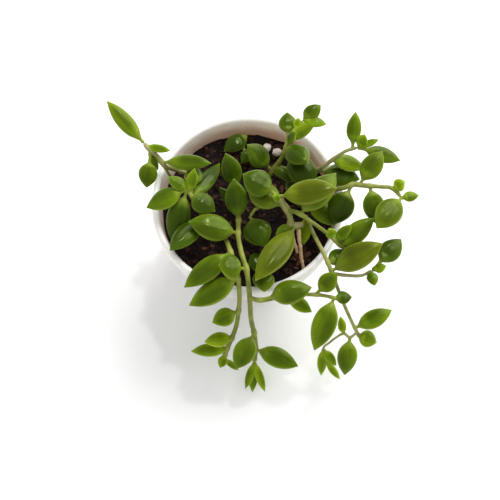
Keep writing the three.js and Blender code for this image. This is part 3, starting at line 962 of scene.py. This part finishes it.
@dataclass
class Leaf:
    """A plump pointed leaf on its stalk, with its upper side up.

    Its line runs along axis from its root in the stem, and start is how far along that line its own length is
    measured from. Sizes are in metres.
    """

    name: str
    root: Vector
    axis: Vector
    across: Vector
    start: float
    petiole: float
    length: float
    width: float
    seed: int

    sides: int = 28
    stalk: float = 0.72 * MM
    thickness: float = 0.5
    droop: float = 0.06
    most_twist: float = 7.0
    most_sway: float = 0.035
    dent_depth: float = 0.16
    top_share: float = 0.92
    roundness: float = 1.12

    OUTLINE = ((0.0, 0.2), (0.07, 0.44), (0.16, 0.72), (0.28, 0.92), (0.44, 1.0), (0.6, 0.92), (0.75, 0.7),
               (0.86, 0.44), (0.94, 0.19), (0.98, 0.07), (1.0, 0.0))

    def blade(self) -> tuple[float, float]:
        """Where the blade starts along the axis, and how long it is. It runs a little way down its stalk."""
        first = self.start + 0.45 * self.petiole
        return first, self.start + self.length - first

    def profile(self) -> np.ndarray:
        """The half outline, as rows of distance along the axis and half width."""
        first, blade = self.blade()
        half = self.width / 2
        stalk = [(-0.3 * self.stalk, 0.0), (0.0, 1.2 * self.stalk), (0.45 * first, self.stalk),
                 (0.85 * first, 1.05 * self.stalk)]
        outline = [(first + along * blade, max(wide * half, 1.25 * self.stalk if along == 0 else 0))
                   for along, wide in self.OUTLINE]
        return spline(np.array(stalk + outline), 4)

    def build(self) -> bmesh.types.BMesh:
        """Builds the leaf.

        Returns:
            Its closed mesh, with the layers that its finish reads.
        """
        line = self.profile()
        rings = len(line) - 1
        bm = bmesh.new()
        bmesh.ops.create_uvsphere(bm, u_segments=self.sides, v_segments=rings, radius=1)
        layers = Layers(bm, "along", "across", "face", "deep")
        first, blade = self.blade()
        up = self.axis.cross(self.across)
        rng = random.Random(self.seed)
        twist = math.radians(rng.uniform(-self.most_twist, self.most_twist))
        sway = rng.uniform(-self.most_sway, self.most_sway)
        crease = rng.uniform(0.1, 0.32) * rng.choice((-1, 1))
        # The place across the blade where the painted shade lies, drawn at random.
        middle = rng.choice((-0.45, 0.0, 0.4))
        for vert in bm.verts:
            turn = math.atan2(vert.co.y, vert.co.x)
            ring = round((1 - math.acos(max(-1.0, min(1.0, -vert.co.z))) / math.pi) * rings)
            x, reach = (float(value) for value in line[rings - ring])
            along = (x - first) / blade
            flat = 1 + (self.thickness - 1) * smooth(along, 0.0, 0.3)
            wide, high = math.cos(turn), math.sin(turn)
            side = reach * wide
            rise = reach * flat * math.copysign(abs(high) ** self.roundness, high)
            if high > 0:
                dent = bump_at(wide, crease, 0.2) * smooth(along, 0.05, 0.3) * smooth(1 - along, 0.0, 0.35)
                rise -= self.dent_depth * reach * flat * dent * high
                rise *= self.top_share
            lean = twist * smooth(along, 0.0, 1.0)
            side, rise = (
                side * math.cos(lean) - rise * math.sin(lean),
                side * math.sin(lean) + rise * math.cos(lean),
            )
            share = max(0.0, (x - self.start) / self.length)
            rise -= self.droop * self.length * share**2
            side += sway * self.length * smooth(along, 0.0, 1.0) * max(0.0, along)
            vert.co = self.root + x * self.axis + side * self.across + rise * up
            # deep is painted shade: a dark band over one side or the middle of the upper face.
            deep = bump_at(wide, middle, 0.8) * smooth(along, 0.12, 0.4) * smooth(1 - along, 0.02, 0.3)
            layers.put(vert, along=along, across=wide, face=high, deep=deep)
        return bm


def leaf_frame(heading: float, pitch: float) -> tuple[Vector, Vector]:
    """A leaf's direction and the level direction across it, from its heading and pitch in radians."""
    axis = Vector((math.cos(pitch) * math.cos(heading), math.cos(pitch) * math.sin(heading), math.sin(pitch)))
    return axis, Vector((-math.sin(heading), math.cos(heading), 0))


def read_leaf(node: bpy.types.Object, droop: float) -> dict[str, object]:
    """Reads a leaf's line and sizes from its frame node.

    Args:
        node: The frame's leaf, whose stalk ends in a flat disc and whose blade ends in a point.
        droop: How far the tip bends down, as a share of the length.

    Returns:
        Its base, axis, across, petiole, length and width.
    """
    points = np.unique(np.round(np.array([v.co for v in node.data.vertices]), 7), axis=0)
    centre = points.mean(axis=0)
    longest = np.linalg.svd(points - centre)[2][0]
    places = (points - centre) @ longest
    if (places < places.min() + 0.1 * MM).sum() < (places > places.max() - 0.1 * MM).sum():
        longest, places = -longest, -places
    tip = points[places.argmax()]
    distances = np.linalg.norm(points - tip, axis=1)
    base = points[distances > distances.max() - 0.35 * MM].mean(axis=0)
    reach = Vector(tip - base)
    length = reach.length / math.hypot(1, droop)
    heading = math.atan2(reach.y, reach.x)
    pitch = math.atan2(reach.z, math.hypot(reach.x, reach.y)) + math.atan(droop)
    axis, across = leaf_frame(heading, pitch)
    offsets = points - base
    along = offsets @ np.array(axis)
    stalk_end = min(value for value in along if value > 0.3 * MM)
    width = 2 * np.abs(offsets @ np.array(across)).max()
    return {"base": Vector(base), "axis": axis, "across": across, "petiole": float(stalk_end),
            "length": float(length), "width": float(width)}


# ---- Stems and roots ----


@dataclass
class Plant:
    """All that grows: stems, leaves, buds and aerial roots."""

    rim: float
    soil_level: float
    nodes: dict[str, bpy.types.Object]
    stem_radius: float = 1.05 * MM
    joint_reach: float = 1.7 * MM
    joint_swell: float = 0.3
    root_radius: float = 0.95 * MM
    rooted: float = 6 * MM
    droop: float = 0.06
    materials: dict[str, bpy.types.Material] = field(default_factory=dict)

    def dress(self) -> None:
        """Builds the finishes."""
        for tone, finish in LEAF_FINISHES.items():
            self.materials[tone.value] = finish.build()
        self.materials["stem"] = StemFinish().build()
        self.materials["root"] = RootFinish().build()

    def point(self, point: Sequence[float]) -> tuple[float, float, float]:
        """A route's point, in metres in the frame."""
        if len(point) == 2:
            return point[0] * MM, point[1] * MM, self.soil_level - self.rooted
        return point[0] * MM, point[1] * MM, self.rim + point[2] * MM

    def build(self) -> None:
        """Builds every shoot and the aerial roots."""
        self.dress()
        seed = 100
        for name, stems in SHOOTS.items():
            for number, stem in enumerate(stems):
                route = Route([self.point(point) for point in stem.route])
                self.build_stem(name, number, stem, route)
                for which, (along, tone) in stem.leaves.items():
                    seed += 1
                    self.build_leaf(name, which, along, tone, route, seed)
                for row in stem.buds:
                    seed += 1
                    self.build_bud(name, f"{name}_bud_{seed}", row, route, seed)
        for name, points in AERIAL_ROOTS.items():
            self.build_root(name, Route([self.point(point) for point in points]))

    def build_stem(self, name: str, number: int, stem: Stem, route: Route) -> None:
        """Builds one stem, swollen where leaves leave it.

        Args:
            name: The shoot's name.
            number: Which of the shoot's stems it is.
            stem: What grows on it.
            route: Its line.
        """
        joints = sorted({along for along, _ in stem.leaves.values()} | {bud.along for bud in stem.buds})
        joint_width = self.joint_reach / route.length
        start, end = stem.girth

        def swollen(share: float) -> float:
            """How much of a joint there is at a share of the length."""
            return max((bump_at(share, place, joint_width) for place in joints), default=0.0)

        def radius(share: float) -> float:
            """The stem's radius at a share of the length."""
            taper = start + (end - start) * share
            tip = 1.0 if stem.cut else math.sqrt(max(0.0025, 1 - smooth(share, 1 - 1.2 * joint_width, 1.0)))
            ripple = 1 + 0.06 * noise.noise(route.at(share) * 400)
            return self.stem_radius * taper * tip * ripple * (1 + self.joint_swell * swollen(share))

        bm = bmesh.new()
        layers = Layers(bm, "around", "joint", "low", "dull")

        def put(vert: bmesh.types.BMVert, share: float, turn: float) -> None:
            """Writes a point's layers."""
            low = 1 - smooth(vert.co.z - self.soil_level, 0, 8 * MM)
            rooted = low * (1 - smooth(share * route.length, 6 * MM, 16 * MM)) if number == 0 else 0.0
            layers.put(vert, around=turn, joint=swollen(share), low=rooted, dull=stem.dull)

        sweep(bm, route, radius, 12, 0.7 * MM, put)
        label = f"{name}_stem" if number == 0 else f"{name}_branch_{number}"
        make_piece(label, bm, self.materials["stem"], [f"stem_{name}"])

    def build_leaf(self, shoot: str, which: str, along: float, tone: Tone, route: Route, seed: int) -> None:
        """Builds a leaf that stands alone in the frame.

        Args:
            shoot: The shoot's name.
            which: The leaf's name on it.
            along: Its place along the stem.
            tone: Its shade.
            route: The stem's line.
            seed: What its small turns are drawn from.
        """
        node = f"leaf_{shoot}_{which}"
        read = read_leaf(self.nodes[node], self.droop)
        root = route.at(along)
        start = max(0.4 * MM, (read["base"] - root).dot(read["axis"]))
        root = read["base"] - start * read["axis"]
        leaf = Leaf(f"{shoot}_{which}_leaf", root, read["axis"], read["across"], start, read["petiole"],
                    read["length"], read["width"], seed)
        make_piece(leaf.name, leaf.build(), self.materials[tone.value], [node])

    def build_bud(self, shoot: str, name: str, row: Bud, route: Route, seed: int) -> None:
        """Builds a small leaf from its row.

        Args:
            shoot: The shoot's name.
            name: The piece's name.
            row: Its sizes.
            route: The stem's line.
            seed: What its small turns are drawn from.
        """
        axis, across = leaf_frame(math.radians(row.heading), math.radians(row.pitch))
        leaf = Leaf(name, route.at(row.along), axis, across, 0.0, row.petiole * MM, row.length * MM,
                    row.width * MM, seed, sides=20)
        make_piece(leaf.name, leaf.build(), self.materials[row.tone.value], [f"stem_{shoot}"])

    def build_root(self, name: str, route: Route) -> None:
        """Builds an aerial root, which thins to its end."""
        bm = bmesh.new()

        def radius(share: float) -> float:
            """The root's radius at a share of the length."""
            tip = math.sqrt(max(0.0025, 1 - smooth(share, 0.93, 1.0)))
            knots = 1 + 0.18 * noise.noise(route.at(share) * 700)
            return self.root_radius * (1 - 0.3 * share) * tip * knots

        sweep(bm, route, radius, 12, 0.4 * MM, lambda vert, share, turn: None, 0.25 * MM)
        make_piece(f"{name}_root", bm, self.materials["root"], [f"aerial_root_{name}"])


# ---- Pot and soil ----


@dataclass(frozen=True)
class Litter:
    """Small broken lumps that lie on the soil.

    Their sizes are the smallest and largest radius, in millimetres, and squash is how long, wide and high a
    lump is.
    """

    name: str
    count: int
    sizes: tuple[float, float]
    squash: tuple[float, float, float]
    finish: EarthFinish


LITTER = (
    Litter("soil_crumbs", 900, (0.35, 1.3), (1.0, 0.8, 0.7),
           EarthFinish("crumbs", (0.01, 0.004, 0.003), (0.15, 0.06, 0.035))),
    Litter("bark_chips", 110, (1.0, 2.2), (1.5, 0.8, 0.35),
           EarthFinish("bark", (0.04, 0.016, 0.01), (0.22, 0.09, 0.048), 1.0)),
)


@dataclass
class Pot:
    """The bowl and what fills it. Its sizes are the frame's, in metres."""

    rim_radius: float
    height: float
    foot_radius: float = 24 * MM
    swell: float = 1.8
    wall: float = 3 * MM
    base: float = 4 * MM
    soil_below: float = 11.5 * MM
    soil_bump: float = 0.8 * MM
    gap: float = 0.3 * MM
    segments: int = 144
    drain_radius: float = 2.5 * MM
    drain_circle: float = 13 * MM
    drain_count: int = 4

    @property
    def soil_level(self) -> float:
        """The soil's height."""
        return self.height - self.soil_below

    def radius(self, z: float) -> float:
        """The outside of the wall at a height."""
        share = 1 - (1 - z / self.height) ** self.swell
        return self.foot_radius + (self.rim_radius - self.foot_radius) * share

    def spin(self, bm: bmesh.types.BMesh, profile: Sequence[tuple[float, float]], segments: int) -> None:
        """Turns a profile of radius and height about the Z axis, and closes its poles.

        Args:
            bm: The mesh to add to.
            profile: The profile's points, from the axis back to the axis.
            segments: How many steps the turn takes.
        """
        verts = [bm.verts.new((radius, 0, z)) for radius, z in profile]
        edges = [bm.edges.new(pair) for pair in zip(verts, verts[1:])]
        bmesh.ops.spin(bm, geom=verts + edges, cent=(0, 0, 0), axis=(0, 0, 1), angle=math.tau, steps=segments,
                       use_merge=True)
        bmesh.ops.remove_doubles(bm, verts=bm.verts[:], dist=1e-6)

    def build(self) -> None:
        """Builds the bowl, with its drain holes."""
        lip = self.wall / 2
        steps = 28
        top = self.height - lip
        foot = 0.8 * MM
        outside = [(self.radius(foot + (top - foot) * i / steps), foot + (top - foot) * i / steps)
                   for i in range(steps + 1)]
        arc = [(self.rim_radius - lip + lip * math.cos(turn), top + lip * math.sin(turn))
               for turn in np.linspace(0, math.pi, 11)[1:-1]]
        inside = [(self.radius(z) - self.wall, z) for z in np.linspace(top, self.base, steps + 1)]
        under = [(0, 0), (self.foot_radius - foot, 0), (self.foot_radius - 0.2 * foot, 0.25 * foot)]
        profile = [*under, *outside, *arc, *inside, (0, self.base)]
        bm = bmesh.new()
        self.spin(bm, profile, self.segments)
        bmesh.ops.recalc_face_normals(bm, faces=bm.faces[:])
        layers = Layers(bm, "inside")
        for vert in bm.verts:
            reach = math.hypot(vert.co.x, vert.co.y)
            within = vert.co.z > self.base - 0.1 * MM and reach < self.radius(vert.co.z) - 0.75 * self.wall
            layers.put(vert, inside=1.0 if within else 0.0)
        self.drill(bm)
        make_piece("bowl", bm, PotFinish(self.soil_level).build(), ["pot"])

    def drill(self, bm: bmesh.types.BMesh) -> None:
        """Cuts the drain holes through the base."""
        body = mesh_object("bowl body", bm)
        cutter_mesh = bmesh.new()
        for i in range(self.drain_count):
            turn = math.tau * (i + 0.5) / self.drain_count
            place = (self.drain_circle * math.cos(turn), self.drain_circle * math.sin(turn), self.base / 2)
            bmesh.ops.create_cone(
                cutter_mesh, cap_ends=True, segments=32, radius1=self.drain_radius, radius2=self.drain_radius,
                depth=3 * self.base, matrix=Matrix.Translation(place),
            )
        cutter = mesh_object("drain cutter", cutter_mesh)
        cut = body.modifiers.new("drain", "BOOLEAN")
        cut.object, cut.operation, cut.solver = cutter, "DIFFERENCE", "EXACT"
        bpy.context.view_layer.update()
        whole = bpy.data.meshes.new_from_object(body.evaluated_get(bpy.context.evaluated_depsgraph_get()))
        bm.clear()
        bm.from_mesh(whole)
        cutter_mesh.free()
        for thing in (body, cutter):
            bpy.data.objects.remove(thing)

    def ground(self, x: float, y: float) -> float:
        """The soil's surface at a place."""
        wave = (math.sin(310 * x + 0.8) + math.cos(270 * y - 110 * x)) * 0.5
        spot = Vector((x, y, 0.3))
        lumps = noise.noise(spot * 260) * 0.7 * MM + noise.noise(spot * 620) * 0.45 * MM
        return self.soil_level + self.soil_bump * wave + lumps - 0.3 * MM

    def fill(self) -> None:
        """Builds the soil and what lies on it."""
        inset = self.wall + self.gap
        edge = self.radius(self.soil_level) - inset
        rings = 90
        low = self.base + self.gap
        profile = [(0, low)]
        profile += [(self.radius(z) - inset, z) for z in np.linspace(low, self.soil_level - 1 * MM, 8)]
        profile += [(edge * (1 - i / rings), self.soil_level) for i in range(rings + 1)]
        bm = bmesh.new()
        self.spin(bm, profile, 240)
        layers = Layers(bm, "shade")
        for vert in bm.verts:
            x, y, z = vert.co
            if z > self.soil_level - 0.5 * MM:
                vert.co.z = self.ground(x, y)
            layers.put(vert, shade=smooth(noise.noise(Vector((x, y, 0)) * 330), 0.1, 0.5))
        mix = EarthFinish("potting mix", (0.007, 0.003, 0.003), (0.05, 0.02, 0.012))
        make_piece("potting_mix", bm, mix.build(), ["soil"])
        rng = random.Random(LITTER_SEED)
        for litter in LITTER:
            self.scatter(litter, rng, edge)

    def scatter(self, litter: Litter, rng: random.Random, edge: float) -> None:
        """Scatters small broken lumps over the soil, as one piece.

        Args:
            litter: What they are.
            rng: What the places and shapes are drawn from.
            edge: How far out the soil goes.
        """
        bm = bmesh.new()
        layers = Layers(bm, "shade")
        for _ in range(litter.count):
            small, large = litter.sizes
            size = MM * (small + (large - small) * rng.random() ** 2)
            reach, turn = (edge - 1.3 * size) * math.sqrt(rng.random()), rng.uniform(0, math.tau)
            x, y = reach * math.cos(turn), reach * math.sin(turn)
            tilt = Matrix.Rotation(rng.gauss(0, 0.35), 4, "X") @ Matrix.Rotation(rng.gauss(0, 0.35), 4, "Y")
            place = Matrix.Translation((x, y, self.ground(x, y) + 0.3 * size * litter.squash[2]))
            spin = Matrix.Rotation(rng.uniform(0, math.tau), 4, "Z")
            matrix = place @ spin @ tilt @ Matrix.Diagonal((*litter.squash, 1))
            made = bmesh.ops.create_icosphere(bm, subdivisions=1, radius=size, matrix=matrix)["verts"]
            shade = rng.random()
            centre = Vector((x, y, self.ground(x, y)))
            for vert in made:
                vert.co += (vert.co - centre) * rng.uniform(-0.22, 0.22)
                layers.put(vert, shade=shade)
        piece = make_piece(litter.name, bm, litter.finish.build(), ["soil"])
        piece.data.shade_flat()

    def perlite(self, box: tuple[Vector, Vector], number: int) -> None:
        """Builds one pale puffed grain in its frame node's place."""
        low, high = box
        centre, half = (low + high) / 2, (high - low) / 2
        bm = bmesh.new()
        bmesh.ops.create_icosphere(bm, subdivisions=4, radius=1)
        layers = Layers(bm, "shade")
        for vert in bm.verts:
            spot = vert.co * 1.3 + Vector((number * 5, 0, 0))
            swell = 0.86 + 0.16 * noise.noise(spot) + 0.05 * noise.noise(spot * 4)
            vert.co = centre + Vector((vert.co.x * half.x, vert.co.y * half.y, vert.co.z * half.z)) * swell
            layers.put(vert, shade=1.0)
        finish = EarthFinish(f"perlite {number}", (0.5, 0.42, 0.36), (0.74, 0.68, 0.62), 0.5)
        make_piece(f"perlite_grain_{number}", bm, finish.build(), [f"perlite_{number}"])


# ---- Studio ----


@dataclass(frozen=True)
class Lamp:
    """A square lamp that faces the target, in degrees, metres and watts."""

    name: str
    heading: float
    rise: float
    reach: float
    size: float
    power: float


@dataclass
class Studio:
    """The floor, the light and the camera.

    The large lamp is low, to the right behind. The small one glints.
    """

    target: Vector = field(default_factory=lambda: Vector((1, -18, 40)) * MM)
    elevation: float = 69.5
    distance: float = 0.49
    lens: float = 79.0
    sensor: float = 36.0
    floor_reach: float = 4.0
    room: float = 0.78
    lamps: tuple[Lamp, ...] = (
        Lamp("key", heading=53, rise=36, reach=1.6, size=1.45, power=32.0),
        Lamp("spark", heading=80, rise=62, reach=1.3, size=0.07, power=2.6),
    )

    def build(self) -> None:
        """Builds the whole stage."""
        self.floor()
        self.light()
        self.camera()

    def floor(self) -> None:
        """Lays the floor."""
        bm = bmesh.new()
        bmesh.ops.create_circle(bm, cap_ends=True, segments=64, radius=self.floor_reach)
        floor = mesh_object("floor", bm)
        bm.free()
        floor.data.materials.append(FloorFinish().build())

    def light(self) -> None:
        """Brightens the room and hangs its lamps."""
        world = bpy.data.worlds.new("room")
        world.use_nodes = True
        background = world.node_tree.nodes["Background"]
        background.inputs["Color"].default_value = (1.0, 1.0, 1.0, 1.0)
        background.inputs["Strength"].default_value = self.room
        bpy.context.scene.world = world
        for lamp in self.lamps:
            self.hang(lamp)
        bpy.context.scene.view_settings.view_transform = "Standard"

    def hang(self, lamp: Lamp) -> None:
        """Adds a lamp."""
        place = self.target + lamp.reach * leaf_frame(math.radians(lamp.heading), math.radians(lamp.rise))[0]
        light = bpy.data.lights.new(lamp.name, "AREA")
        light.size = lamp.size
        light.energy = lamp.power
        thing = bpy.data.objects.new(lamp.name, light)
        thing.location = place
        thing.rotation_euler = (self.target - place).to_track_quat("-Z", "Y").to_euler()
        bpy.context.scene.collection.objects.link(thing)

    def camera(self) -> None:
        """Places the camera in front and well above."""
        lens = bpy.data.cameras.new("camera")
        lens.lens = self.lens
        lens.sensor_width = self.sensor
        camera = bpy.data.objects.new("camera", lens)
        rise = math.radians(self.elevation)
        camera.location = self.target + self.distance * Vector((0, -math.cos(rise), math.sin(rise)))
        camera.rotation_euler = (self.target - camera.location).to_track_quat("-Z", "Y").to_euler()
        bpy.context.scene.collection.objects.link(camera)
        bpy.context.scene.camera = camera


def main() -> None:
    """Builds the plant, its pot and the stage around the frame."""
    logging.basicConfig(level=logging.INFO, format="%(message)s")
    noise.seed_set(NOISE_SEED)
    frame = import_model()
    Studio().build()
    low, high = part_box("pot")
    pot = Pot(rim_radius=high.x, height=high.z)
    pot.build()
    pot.fill()
    for number in (1, 2):
        pot.perlite(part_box(f"perlite_{number}"), number)
    Plant(rim=pot.height, soil_level=pot.soil_level, nodes=frame["nodes"]).build()


if __name__ == "__main__":
    main()
